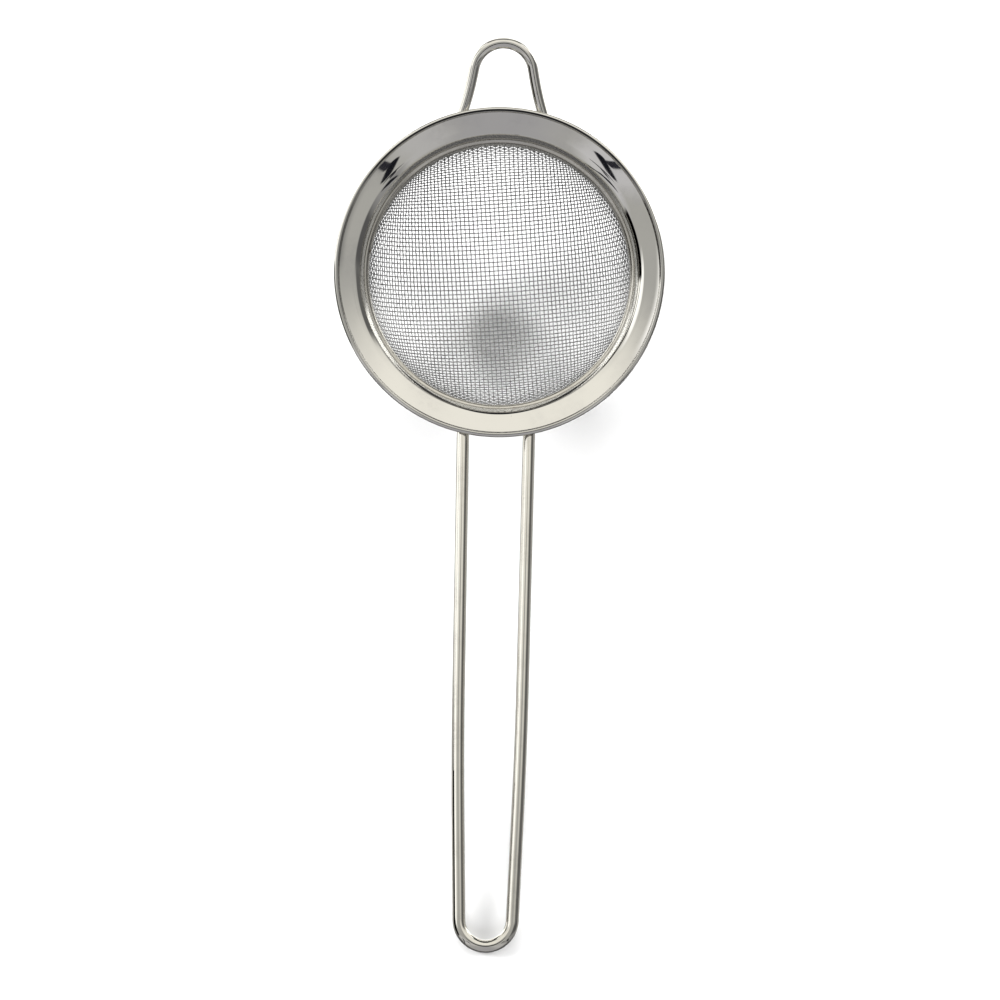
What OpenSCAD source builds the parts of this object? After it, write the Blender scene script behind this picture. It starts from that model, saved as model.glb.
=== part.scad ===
// Hand-held tea strainer: a woven wire bowl clamped under a stamped rim, with a bent wire handle
// and a rest loop that sits on the brim of a cup. Millimetres, +Z up along the axis of the bowl.
// The origin is the centre of the rim, level with its top. The handle runs towards -Y and the
// rest loop towards +Y.

/* [Rim] */
// Outside diameter of the rim, over the rolled bead
rim_d = 80; // [76:1:90]
// Diameter of the rolled bead round the edge of the rim
bead_d = 1.3; // [1.1:0.1:2]
// Thickness of the stamped sheet
sheet_t = 0.5; // [0.4:0.05:0.6]
// Slope of the dished flange where it meets the bead, in degrees
lip_slope = 24; // [16:1:30]
// Slope of the dished flange where it starts to turn down, in degrees
throat_slope = 14; // [4:1:18]
// Radius of the turn from the flange down into the collar, on its upper side
throat_r = 3.3; // [2.6:0.1:3.6]
// Height of the straight collar below that turn
collar_h = 4.6; // [4:0.2:6]

/* [Woven bowl] */
// Radius of the bowl on the inside of the cloth
bowl_r = 32.35; // [31:0.05:33]
// Thickness of the cloth over the crossing wires
cloth_t = 0.55; // [0.4:0.05:0.7]
// Depth of the bowl's centre below the top of the rim
bowl_centre_depth = 8; // [7:0.25:9]
// Thickness of the hoop that traps the edge of the cloth
clamp_t = 0.5; // [0.4:0.05:0.6]

/* [Handle] */
// Diameter of the handle wire
handle_wire_d = 3; // [2.6:0.1:3.4]
// Reach of the handle's far end from the axis of the bowl
handle_reach = 160.5; // [120:0.5:200]
// Rise of the handle above the plane of the rim, in degrees
handle_rise = 12.2; // [8:0.1:16]
// Radius of the bend at the handle's far end, to the middle of the wire
end_bend_r = 6.2; // [5:0.1:7]
// Lean of each leg towards the other where it runs into that bend, in degrees
leg_lean_end = 1.8; // [1:0.1:2.5]
// Length of that leaning stretch of each leg
leg_end_l = 40; // [30:1:60]
// Lean of each leg on the rest of its length, in degrees
leg_lean = 0.4; // [0:0.1:0.8]
// Radius of the slight set in each leg where its lean changes, to the middle of the wire
leg_set_r = 2; // [2:0.5:4]

/* [Rest loop] */
// Diameter of the loop wire
loop_wire_d = 2.6; // [2.2:0.1:3]
// Reach of the loop from the axis of the bowl
loop_reach = 56.6; // [52:0.2:62]
// Radius of the arch of the loop, to the middle of the wire
loop_arch_r = 7.2; // [6:0.1:8.5]
// Splay of each leg of the loop, in degrees
loop_splay = 16.7; // [10:0.1:20]
// Rise of the loop above the plane of the rim, in degrees
loop_rise = 10; // [8:0.5:14]

/* [Hidden] */

$fn = 96;
ARC_STEPS = 12;                      // points along each round stretch of a profile
CLEAR = 0.02;                        // hair gap between a wire and the sheet it is welded to

rim_r = rim_d / 2;
bead_r = bead_d / 2;
bead_centre = [rim_r - bead_r, -bead_r];

// Woven bowl: a hemisphere with a short straight skirt that stands between collar and hoop.
cloth_r = bowl_r + cloth_t;          // outside of the cloth, and inside of the collar
skirt_top = -6;

// Sheet of the rim, followed along its middle: collar, throat arc, dished arc, bead.
collar_mid = cloth_r + sheet_t / 2;
collar_out = cloth_r + sheet_t;
throat_mid_r = throat_r - sheet_t / 2;
throat_end_r = collar_mid + throat_mid_r * (1 - sin(throat_slope));
dish_r = (bead_centre[0] - throat_end_r) / (sin(lip_slope) - sin(throat_slope));
dish_centre = bead_centre + dish_r * [-sin(lip_slope), cos(lip_slope)];
throat_end_z = dish_centre[1] - dish_r * cos(throat_slope);
throat_centre = [collar_mid + throat_mid_r, throat_end_z - throat_mid_r * cos(throat_slope)];
collar_top = throat_centre[1];
collar_bottom = collar_top - collar_h;

// Hoop inside the cloth, with a lip that flares out over the cut edge of the cloth.
clamp_r = bowl_r - clamp_t;
clamp_lip_r = cloth_r - clamp_r;
clamp_top = collar_top - 0.2;
clamp_bottom = collar_bottom - 0.2;

// Handle, drawn in its own plane: u runs along the handle from the point below the bead.
handle_wire_r = handle_wire_d / 2;
handle_pivot = [0, -bead_centre[0], bead_centre[1] - (bead_r + handle_wire_r + CLEAR) / cos(handle_rise)];
handle_u_end = (handle_reach - handle_wire_r - bead_centre[0]) / cos(handle_rise);
bend_centre_u = round(100 * (handle_u_end - end_bend_r)) / 100;
leg_set_angle = leg_lean_end - leg_lean;
handle_root_u = 6.9;                 // length of each leg under the flange, from the bead inwards
// Length of a leg between the set and its foot, so that the foot comes to handle_root_u.
leg_root_l = round(100 * (bend_centre_u + handle_root_u + end_bend_r * sin(leg_lean_end)
    - leg_end_l * cos(leg_lean_end) - leg_set_r * (sin(leg_lean_end) - sin(leg_lean)))
    / cos(leg_lean)) / 100;
leg_foot_x = end_bend_r * cos(leg_lean_end) + leg_end_l * sin(leg_lean_end)
    + leg_set_r * (cos(leg_lean) - cos(leg_lean_end)) + leg_root_l * sin(leg_lean);

// Rest loop, drawn in its own plane: v runs outwards from the point below the bead.
loop_wire_r = loop_wire_d / 2;
loop_pivot = [0, bead_centre[0], bead_centre[1] - (bead_r + loop_wire_r + CLEAR) / cos(loop_rise)];
loop_v_end = (loop_reach - loop_wire_r - bead_centre[0]) / cos(loop_rise);
loop_centre_v = round(100 * (loop_v_end - loop_arch_r)) / 100;
loop_root_v = 7.6;                   // depth of each leg under the flange, from the bead inwards
loop_leg_l = round(100 * (loop_centre_v + loop_arch_r * sin(loop_splay) + loop_root_v)
    / cos(loop_splay)) / 100;
loop_foot_x = loop_arch_r * cos(loop_splay) + loop_leg_l * sin(loop_splay);

weld_r = 1.95;                       // size of each spot of weld metal
weld_sink = 0.55;                    // how far below the wire's middle the weld metal sits
weld_inset = 0.6;                    // how far in from the end of the foot its middle lies

// Point on the middle of the sheet at tangent angle a, moved d towards the upper side.
function throat_at(a, d) = throat_centre + (throat_mid_r + d) * [-sin(a), cos(a)];
function dish_at(a, d) = dish_centre + (dish_r - d) * [sin(a), -cos(a)];
// One face of the sheet, from the collar's bottom edge to the bead.
function sheet_face(d) = concat(
    [[collar_mid - d, collar_bottom]],
    [for (i = [0 : ARC_STEPS]) throat_at(90 + (throat_slope - 90) * i / ARC_STEPS, d)],
    [for (i = [1 : ARC_STEPS]) dish_at(throat_slope + (lip_slope - throat_slope) * i / ARC_STEPS, d)]
);
function reversed(points) = [for (i = [len(points) - 1 : -1 : 0]) points[i]];

// Straight wire of radius r and length l along +Y of its own frame.
module wire(r, l) {
    rotate([-90, 0, 0]) cylinder(r = r, h = l);
}

// Arc of the same wire that leaves the origin along +Y and turns towards -X.
module wire_arc(r, bend_r, angle) {
    translate([-bend_r, 0, 0]) rotate_extrude(angle = angle)
        translate([bend_r, 0]) circle(r = r, $fn = 48);
}

// Everything above and inside the underside of the throat and the outside of the collar, grown by
// the hair gap, so that weld metal cut by it fits against the sheet.
module rim_shadow() {
    under_r = throat_r - sheet_t - CLEAR;
    rotate_extrude() difference() {
        translate([0, collar_bottom]) square([throat_centre[0], collar_h + throat_r]);
        translate(throat_centre) circle(r = under_r);
        translate([throat_centre[0] - under_r, collar_bottom - 1]) square([under_r + 1, collar_h + 1]);
    }
}

module rim_flange() {
    color([0.80, 0.79, 0.77]) {
        rotate_extrude() polygon(concat(sheet_face(sheet_t / 2), reversed(sheet_face(-sheet_t / 2))));
        rotate_extrude() translate(bead_centre) circle(r = bead_r);
    }
}

module clamp_ring() {
    flare_mid = [clamp_r + clamp_lip_r, clamp_top - clamp_lip_r];
    color([0.72, 0.70, 0.66]) rotate_extrude() union() {
        translate([clamp_r, clamp_bottom]) square([clamp_t, flare_mid[1] - clamp_bottom]);
        intersection() {
            translate(flare_mid) difference() {
                circle(r = clamp_lip_r);
                circle(r = clamp_lip_r - clamp_t);
            }
            translate([clamp_r, flare_mid[1]]) square(clamp_lip_r);
        }
    }
}

module mesh_bowl() {
    color([0.66, 0.66, 0.67]) translate([0, 0, -bowl_centre_depth]) {
        difference() {
            sphere(r = cloth_r);
            sphere(r = bowl_r);
            translate([0, 0, cloth_r]) cube(2 * cloth_r, center = true);
        }
        difference() {
            cylinder(r = cloth_r, h = bowl_centre_depth + skirt_top);
            translate([0, 0, -1]) cylinder(r = bowl_r, h = bowl_centre_depth + skirt_top + 2);
        }
    }
}

// Half of the handle on the +X side, from the middle of the end bend to under the flange. Each
// stretch starts where the one before it ends, so the wire is one run of tangent pieces.
module handle_half() {
    translate([0, -bend_centre_u, 0]) rotate([0, 0, -leg_lean_end]) translate([end_bend_r, 0, 0]) {
        rotate([180, 0, 0]) wire_arc(handle_wire_r, end_bend_r, 90 - leg_lean_end);
        wire(handle_wire_r, leg_end_l);
        translate([0, leg_end_l, 0]) {
            wire_arc(handle_wire_r, leg_set_r, leg_set_angle);
            translate([-leg_set_r, 0, 0]) rotate([0, 0, leg_set_angle]) translate([leg_set_r, 0, 0])
                wire(handle_wire_r, leg_root_l);
        }
    }
}

module handle_shape() {
    translate(handle_pivot) rotate([-handle_rise, 0, 0]) {
        handle_half();
        rotate([0, 180, 0]) handle_half();
    }
}

module handle_wire() {
    color([0.70, 0.68, 0.63]) handle_shape();
}

// Half of the loop on the +X side, from the middle of the arch to under the flange.
module loop_half() {
    translate([0, loop_centre_v, 0]) rotate([0, 0, loop_splay]) translate([loop_arch_r, 0, 0]) {
        wire_arc(loop_wire_r, loop_arch_r, 90 - loop_splay);
        rotate([180, 0, 0]) wire(loop_wire_r, loop_leg_l);
    }
}

module loop_shape() {
    translate(loop_pivot) rotate([loop_rise, 0, 0]) {
        loop_half();
        rotate([0, 180, 0]) loop_half();
    }
}

module rest_loop() {
    color([0.72, 0.71, 0.68]) loop_shape();
}

// Weld metal round the foot of one leg, in the foot's own frame with the wire along Y.
module weld_spot(wire_r) {
    difference() {
        translate([0, 0, -weld_sink]) sphere(r = weld_r);
        translate([0, -2 * weld_r, 0]) wire(wire_r + CLEAR, 4 * weld_r);
    }
}

module handle_weld() {
    translate(handle_pivot) rotate([-handle_rise, 0, 0])
        translate([leg_foot_x, handle_root_u - weld_inset, 0]) rotate([0, 0, -leg_lean])
            weld_spot(handle_wire_r);
}

module loop_weld() {
    translate(loop_pivot) rotate([loop_rise, 0, 0])
        translate([loop_foot_x, weld_inset - loop_root_v, 0]) rotate([0, 0, loop_splay])
            weld_spot(loop_wire_r);
}

// A weld and its twin on the other side, fitted against the sheet.
module weld_pair() {
    difference() {
        union() {
            children();
            mirror([1, 0, 0]) children();
        }
        rim_shadow();
    }
}

module handle_welds() {
    color([0.55, 0.54, 0.52]) weld_pair() handle_weld();
}

module loop_welds() {
    color([0.55, 0.54, 0.52]) weld_pair() loop_weld();
}

rim_flange();
clamp_ring();
mesh_bowl();
handle_wire();
rest_loop();
handle_welds();
loop_welds();
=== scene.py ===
"""Hand-held tea strainer: woven wire bowl, stamped rim, bent wire handle and rest loop.

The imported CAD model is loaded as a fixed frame. Every CAD node is then stood in for by a finished
piece of the same size: the rim and the clamp ring are turned from closed profiles, the two wires
are swept along their bends, and the cloth is woven wire by wire over the bowl. All lengths in the
dataclasses are millimetres; meshes are written in metres.
"""

import logging
import math
from dataclasses import dataclass, field
from enum import Enum

import bpy
import numpy as np
from mathutils import Matrix, Vector


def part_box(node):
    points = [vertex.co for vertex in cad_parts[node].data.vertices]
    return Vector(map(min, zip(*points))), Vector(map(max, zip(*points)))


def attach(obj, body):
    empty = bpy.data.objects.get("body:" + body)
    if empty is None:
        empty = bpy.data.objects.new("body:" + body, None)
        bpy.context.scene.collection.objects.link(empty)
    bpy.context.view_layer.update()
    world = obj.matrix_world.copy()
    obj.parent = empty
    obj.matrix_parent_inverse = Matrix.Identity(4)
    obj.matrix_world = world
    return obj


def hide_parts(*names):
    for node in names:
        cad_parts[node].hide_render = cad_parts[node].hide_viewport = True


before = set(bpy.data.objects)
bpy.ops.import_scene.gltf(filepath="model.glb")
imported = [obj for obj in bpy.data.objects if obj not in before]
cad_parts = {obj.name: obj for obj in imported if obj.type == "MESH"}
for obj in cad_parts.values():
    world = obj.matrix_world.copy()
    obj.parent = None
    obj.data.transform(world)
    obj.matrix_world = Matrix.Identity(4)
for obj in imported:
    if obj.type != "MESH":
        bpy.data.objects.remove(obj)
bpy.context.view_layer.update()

LOG = logging.getLogger("tea_strainer")
MM = 0.001
EDGE_SHARE = 0.25  # rounding of a wire's cut edge, as a share of the wire's radius


# --------------------------------------------------------------------------------------------
# Geometry helpers
# --------------------------------------------------------------------------------------------


def arc(centre: tuple[float, float], radius: float, start: float, end: float, count: int) -> np.ndarray:
    """Points centre + radius (cos a, sin a) of a circle, a from start to end in degrees, both included."""
    a = np.radians(np.linspace(start, end, count))
    return np.array(centre) + radius * np.stack([np.cos(a), np.sin(a)], axis=1)


def smoothstep(x: np.ndarray) -> np.ndarray:
    """Cubic ease 3x^2 - 2x^3 of x held between 0 and 1."""
    t = np.clip(x, 0.0, 1.0)
    return t * t * (3.0 - 2.0 * t)


def unit(v: np.ndarray) -> np.ndarray:
    """Vectors of the last axis divided by their lengths."""
    return v / np.maximum(np.linalg.norm(v, axis=-1, keepdims=True), 1e-12)


def grid_quads(rows: int, cols: int, wrap_rows: bool, wrap_cols: bool) -> tuple[np.ndarray, np.ndarray]:
    """Quads over a grid of points, and the same quads over an unwrapped grid for texture corners.

    Args:
        rows: number of grid rows.
        cols: number of points in a row.
        wrap_rows: True if the last row joins the first.
        wrap_cols: True if the last column joins the first.

    Returns:
        Vertex indices and texture-corner indices, each of shape (quads, 4). The texture grid has
        one more row and one more column than the points.
    """
    r, c = np.meshgrid(
        np.arange(rows if wrap_rows else rows - 1),
        np.arange(cols if wrap_cols else cols - 1),
        indexing="ij",
    )
    corners_r = np.stack([r, r, r + 1, r + 1], axis=-1).reshape(-1, 4)
    corners_c = np.stack([c, c + 1, c + 1, c], axis=-1).reshape(-1, 4)
    points = (corners_r % rows) * cols + corners_c % cols
    texture = corners_r * (cols + 1) + corners_c
    return points, texture


def running_length(points: np.ndarray) -> np.ndarray:
    """Length along a line of points up to each of them: the running sum of its steps, from 0."""
    steps = np.linalg.norm(np.diff(points, axis=0), axis=1)
    return np.concatenate([[0.0], np.cumsum(steps)])


def pairs(down: np.ndarray, across: np.ndarray) -> np.ndarray:
    """Every value of down paired with every value of across, row by row, shape (n, 2)."""
    return np.stack(np.broadcast_arrays(down[:, None], across[None, :]), axis=-1).reshape(-1, 2)


def linked(name: str, data: bpy.types.ID) -> bpy.types.Object:
    """Makes an object and links it to the scene.

    Args:
        name: the object's name.
        data: its mesh, lamp or camera.

    Returns:
        The object, at the origin.
    """
    made = bpy.data.objects.new(name, data)
    bpy.context.scene.collection.objects.link(made)
    return made


def signed_volume(points: np.ndarray, quads: np.ndarray) -> float:
    """Volume inside a closed skin: a sixth of the sum of a . (b x c) over its triangles.

    Args:
        points: vertices, shape (n, 3).
        quads: vertex indices, shape (m, 4).

    Returns:
        The volume, negative if the skin faces inwards.
    """
    a, b, c, d = (points[quads[:, k]] for k in range(4))
    cross = np.einsum("ij,ij->i", a, np.cross(b, c)) + np.einsum("ij,ij->i", a, np.cross(c, d))
    return float(cross.sum() / 6.0)


def new_piece(
    name: str,
    points: np.ndarray,
    quads: np.ndarray,
    uv: np.ndarray,
    caps: list[list[int]],
) -> bpy.types.Object:
    """Makes an object at the origin from a closed skin of quads and end caps, facing outwards.

    Args:
        name: the object's name.
        points: vertices in millimetres, shape (n, 3).
        quads: vertex indices, shape (m, 4).
        uv: texture coordinates in millimetres of each corner of each quad, shape (m, 4, 2).
        caps: polygons that close the ends, wound the same way as the quads; their texture
            coordinates are 0.

    Returns:
        The new object, linked to the scene.
    """
    if signed_volume(points, quads) < 0.0:
        quads = quads[:, ::-1]
        uv = uv[:, ::-1]
        caps = [cap[::-1] for cap in caps]
    mesh = bpy.data.meshes.new(name)
    mesh.from_pydata((points * MM).tolist(), [], quads.tolist() + caps)
    layer = mesh.uv_layers.new(name="Surface")
    rest = sum(len(cap) for cap in caps)
    corners = np.concatenate([uv.reshape(-1, 2), np.zeros((rest, 2))]) * MM
    layer.data.foreach_set("uv", corners.ravel())
    mesh.polygons.foreach_set("use_smooth", np.ones(len(mesh.polygons), dtype=bool))
    mesh.validate()
    mesh.update()
    return linked(name, mesh)


def turned(name: str, profile: np.ndarray, steps: int, ripple: float = 0.0) -> bpy.types.Object:
    """Turns a closed profile about the Z axis: (r, z) goes to (r cos a, r sin a, z).

    A polished stamping is never quite true, so the height gains a small sum of sines round the
    axis that grows with the radius.

    Args:
        name: the object's name.
        profile: closed outline of (r, z) in millimetres, its last point not repeating its first.
        steps: number of steps round the axis.
        ripple: height of the waves in millimetres.

    Returns:
        The turned object.
    """
    a = np.linspace(0.0, 2.0 * np.pi, steps, endpoint=False)[:, None]
    r, z = profile[None, :, 0], profile[None, :, 1]
    reach = smoothstep((r - r.min()) / np.ptp(r))
    waves = np.sin(3 * a + 0.4) + 0.6 * np.sin(5 * a + 2.1) + 0.35 * np.sin(11 * a + 0.9)
    height = z + ripple * reach * waves
    points = np.stack([r * np.cos(a), r * np.sin(a), height], axis=-1).reshape(-1, 3)
    quads, corners = grid_quads(steps, len(profile), True, True)
    along = running_length(np.concatenate([profile, profile[:1]]))
    around = np.linspace(0.0, 2.0 * np.pi * r.mean(), steps + 1)
    return new_piece(name, points, quads, pairs(around, along)[corners], [])


def swept(
    name: str, path: np.ndarray, plane_normal: np.ndarray, radius: float, sides: int
) -> bpy.types.Object:
    """Sweeps a round wire along a path that lies in a plane, with a rounded edge at each foot.

    A ring's point is the path's point plus radius times (side cos b + plane normal sin b), where
    side is square to the path within the plane.

    Args:
        name: the object's name.
        path: points along the middle of the wire in millimetres, shape (n, 3).
        plane_normal: unit normal of the path's plane.
        radius: radius of the wire.
        sides: number of faces round the wire.

    Returns:
        The swept object.
    """
    edge = EDGE_SHARE * radius
    turn = np.radians(np.linspace(90.0, 0.0, 5))
    tangent = unit(np.gradient(path, axis=0))
    run_in = path[0] + tangent[0] * (edge * (1.0 - np.sin(turn)))[:, None]
    run_out = path[-1] - tangent[-1] * (edge * (1.0 - np.sin(turn)))[::-1][:, None]
    centre = np.concatenate([run_in, path[1:-1], run_out])
    first, last = (np.repeat(end, len(turn), 0) for end in (tangent[:1], tangent[-1:]))
    tangent = np.concatenate([first, tangent[1:-1], last])
    shrink = radius - edge * (1.0 - np.cos(turn))
    size = np.concatenate([shrink, np.full(len(path) - 2, radius), shrink[::-1]])
    side = unit(np.cross(tangent, plane_normal))
    b = np.linspace(0.0, 2.0 * np.pi, sides, endpoint=False)
    ring = side[:, None] * np.cos(b)[None, :, None] + plane_normal * np.sin(b)[None, :, None]
    points = (centre[:, None] + size[:, None, None] * ring).reshape(-1, 3)
    quads, corners = grid_quads(len(centre), sides, False, True)
    along = running_length(centre)
    along = np.append(along, along[-1])
    around = np.linspace(0.0, 2.0 * np.pi * radius, sides + 1)
    foot = (len(centre) - 1) * sides
    caps = [list(range(sides))[::-1], list(range(foot, foot + sides))]
    return new_piece(name, points, quads, pairs(along, around)[corners], caps)


# --------------------------------------------------------------------------------------------
# Node groups shared by the finishes
# --------------------------------------------------------------------------------------------


class Tree:
    """Thin wrapper that adds and links shader nodes."""

    def __init__(self, tree: bpy.types.NodeTree) -> None:
        """Holds the tree that the nodes go into."""
        self.tree = tree

    def add(self, kind: str, **settings: object) -> bpy.types.Node:
        """Adds a node and sets its properties, or its inputs where the name starts with in_.

        Args:
            kind: the node's type name.
            settings: property values; in_0=1.5 sets the first input's value, and a socket given
                as the value is linked instead.

        Returns:
            The new node.
        """
        node = self.tree.nodes.new(kind)
        for key, value in settings.items():
            if key.startswith("in_"):
                label = key[3:]
                socket = node.inputs[int(label)] if label.isdigit() else node.inputs[label.replace("_", " ")]
                self.feed(value, socket)
            else:
                setattr(node, key, value)
        return node

    def feed(self, value: object, socket: bpy.types.NodeSocket) -> None:
        """Links a socket to another, or sets its value.

        Args:
            value: the socket to link from, or the value to set.
            socket: the input that takes it.
        """
        if isinstance(value, bpy.types.NodeSocket):
            self.tree.links.new(value, socket)
        else:
            socket.default_value = value

    def math(self, operation: str, a: object, b: object = 0.0, c: object = 0.0) -> bpy.types.NodeSocket:
        """Adds a Math node and returns its output."""
        return self.add("ShaderNodeMath", operation=operation, in_0=a, in_1=b, in_2=c).outputs[0]

    def vector(self, operation: str, a: object, b: object = (0, 0, 0)) -> bpy.types.Node:
        """Adds a Vector Math node."""
        return self.add("ShaderNodeVectorMath", operation=operation, in_0=a, in_1=b)

    def ramp(
        self, value: object, low: object, high: object, to_low: object, to_high: object
    ) -> bpy.types.NodeSocket:
        """Maps a value to another range with a smooth ease, held at both ends.

        Args:
            value: what is mapped.
            low: where the range starts.
            high: where it ends.
            to_low: result at low.
            to_high: result at high.

        Returns:
            The mapped value.
        """
        node = self.add("ShaderNodeMapRange", interpolation_type="SMOOTHSTEP")
        for socket, given in zip(node.inputs, (value, low, high, to_low, to_high), strict=False):
            self.feed(given, socket)
        return node.outputs[0]

    def mix(self, amount: object, a: object, b: object) -> bpy.types.NodeSocket:
        """Mixes two colours.

        Args:
            amount: share of b, from 0 to 1.
            a: colour at 0.
            b: colour at 1.

        Returns:
            The mixed colour.
        """
        node = self.add("ShaderNodeMix", data_type="RGBA")
        self.feed(amount, node.inputs[0])
        self.feed(a, node.inputs[6])
        self.feed(b, node.inputs[7])
        return node.outputs[2]


def fresh_material(name: str) -> tuple[bpy.types.Material, Tree]:
    """Makes a material with an empty node tree.

    Args:
        name: the material's name.

    Returns:
        The material and its tree wrapper.
    """
    made = bpy.data.materials.new(name)
    made.use_nodes = True
    made.node_tree.nodes.clear()
    return made, Tree(made.node_tree)


def group(
    name: str, inputs: dict[str, tuple[str, float]], outputs: dict[str, str]
) -> tuple[Tree, bpy.types.Node, bpy.types.Node]:
    """Starts a shader node group.

    Args:
        name: the group's name.
        inputs: socket name to (type, default); a Vector's default is ignored.
        outputs: socket name to type.

    Returns:
        The group's tree wrapper, its input node and its output node.
    """
    tree = bpy.data.node_groups.new(name, "ShaderNodeTree")
    for label, (kind, default) in inputs.items():
        socket = tree.interface.new_socket(label, in_out="INPUT", socket_type=f"NodeSocket{kind}")
        if kind == "Float":
            socket.default_value = default
    for label, kind in outputs.items():
        tree.interface.new_socket(label, in_out="OUTPUT", socket_type=f"NodeSocket{kind}")
    wrap = Tree(tree)
    return wrap, wrap.add("NodeGroupInput"), wrap.add("NodeGroupOutput")


def smudge_group() -> bpy.types.NodeTree:
    """Soft marks left by handling: a broad noise held to patches, broken up by a finer one.

    Returns:
        The group, with inputs Vector, Scale and Cover and output Mask.
    """
    t, given, out = group(
        "handling_smudges",
        {"Vector": ("Vector", 0), "Scale": ("Float", 90.0), "Cover": ("Float", 0.5)},
        {"Mask": "Float"},
    )
    place, scale = given.outputs["Vector"], given.outputs["Scale"]
    broad = t.add("ShaderNodeTexNoise", in_Vector=place, in_Scale=scale, in_Detail=3.0)
    fine_scale = t.math("MULTIPLY", scale, 7.0)
    fine = t.add(
        "ShaderNodeTexNoise", in_Vector=place, in_Scale=fine_scale, in_Detail=4.0, in_Distortion=0.6
    )
    edge = t.math("SUBTRACT", 1.0, given.outputs["Cover"])
    patch = t.ramp(broad.outputs[0], t.math("SUBTRACT", edge, 0.12), t.math("ADD", edge, 0.12), 0.0, 1.0)
    grain = t.ramp(fine.outputs[0], 0.3, 0.75, 0.35, 1.0)
    t.feed(t.math("MULTIPLY", patch, grain), out.inputs["Mask"])
    return t.tree


def line_group() -> bpy.types.NodeTree:
    """Fine parallel lines left by polishing or drawing: noise stretched along one texture axis.

    Returns:
        The group, with inputs Vector, Along and Across and output Height.
    """
    t, given, out = group(
        "polish_lines",
        {"Vector": ("Vector", 0), "Along": ("Float", 120.0), "Across": ("Float", 9000.0)},
        {"Height": "Float"},
    )
    size = t.add("ShaderNodeCombineXYZ", in_0=given.outputs["Along"], in_1=given.outputs["Across"], in_2=1.0)
    place = t.vector("MULTIPLY", given.outputs["Vector"], size.outputs[0])
    lines = t.add("ShaderNodeTexNoise", in_Vector=place.outputs[0], in_Scale=1.0, in_Detail=3.0)
    t.feed(lines.outputs[0], out.inputs["Height"])
    return t.tree


def speck_group() -> bpy.types.NodeTree:
    """Small scattered specks of residue: the cores of a few Voronoi cells.

    Returns:
        The group, with inputs Vector, Scale, Share and Size and output Mask.
    """
    t, given, out = group(
        "residue_specks",
        {
            "Vector": ("Vector", 0), "Scale": ("Float", 400.0),
            "Share": ("Float", 0.1), "Size": ("Float", 0.2),
        },
        {"Mask": "Float"},
    )
    bent = t.add("ShaderNodeTexNoise", in_Vector=given.outputs["Vector"], in_Scale=1500.0, in_Detail=2.0)
    push = t.vector("SCALE", bent.outputs[1])
    push.inputs["Scale"].default_value = 0.0012
    place = t.vector("ADD", given.outputs["Vector"], push.outputs[0])
    cells = t.add("ShaderNodeTexVoronoi", in_Vector=place.outputs[0], in_Scale=given.outputs["Scale"])
    size = given.outputs["Size"]
    core = t.ramp(cells.outputs["Distance"], t.math("MULTIPLY", size, 0.5), size, 1.0, 0.0)
    pick = t.add("ShaderNodeSeparateColor", in_0=cells.outputs["Color"])
    kept = t.math("LESS_THAN", pick.outputs[0], given.outputs["Share"])
    t.feed(t.math("MULTIPLY", core, kept), out.inputs["Mask"])
    return t.tree


class Effects:
    """The shared node groups, each made once."""

    def __init__(self) -> None:
        """Builds the groups."""
        self.smudges = smudge_group()
        self.lines = line_group()
        self.specks = speck_group()


# --------------------------------------------------------------------------------------------
# Finishes
# --------------------------------------------------------------------------------------------


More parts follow.
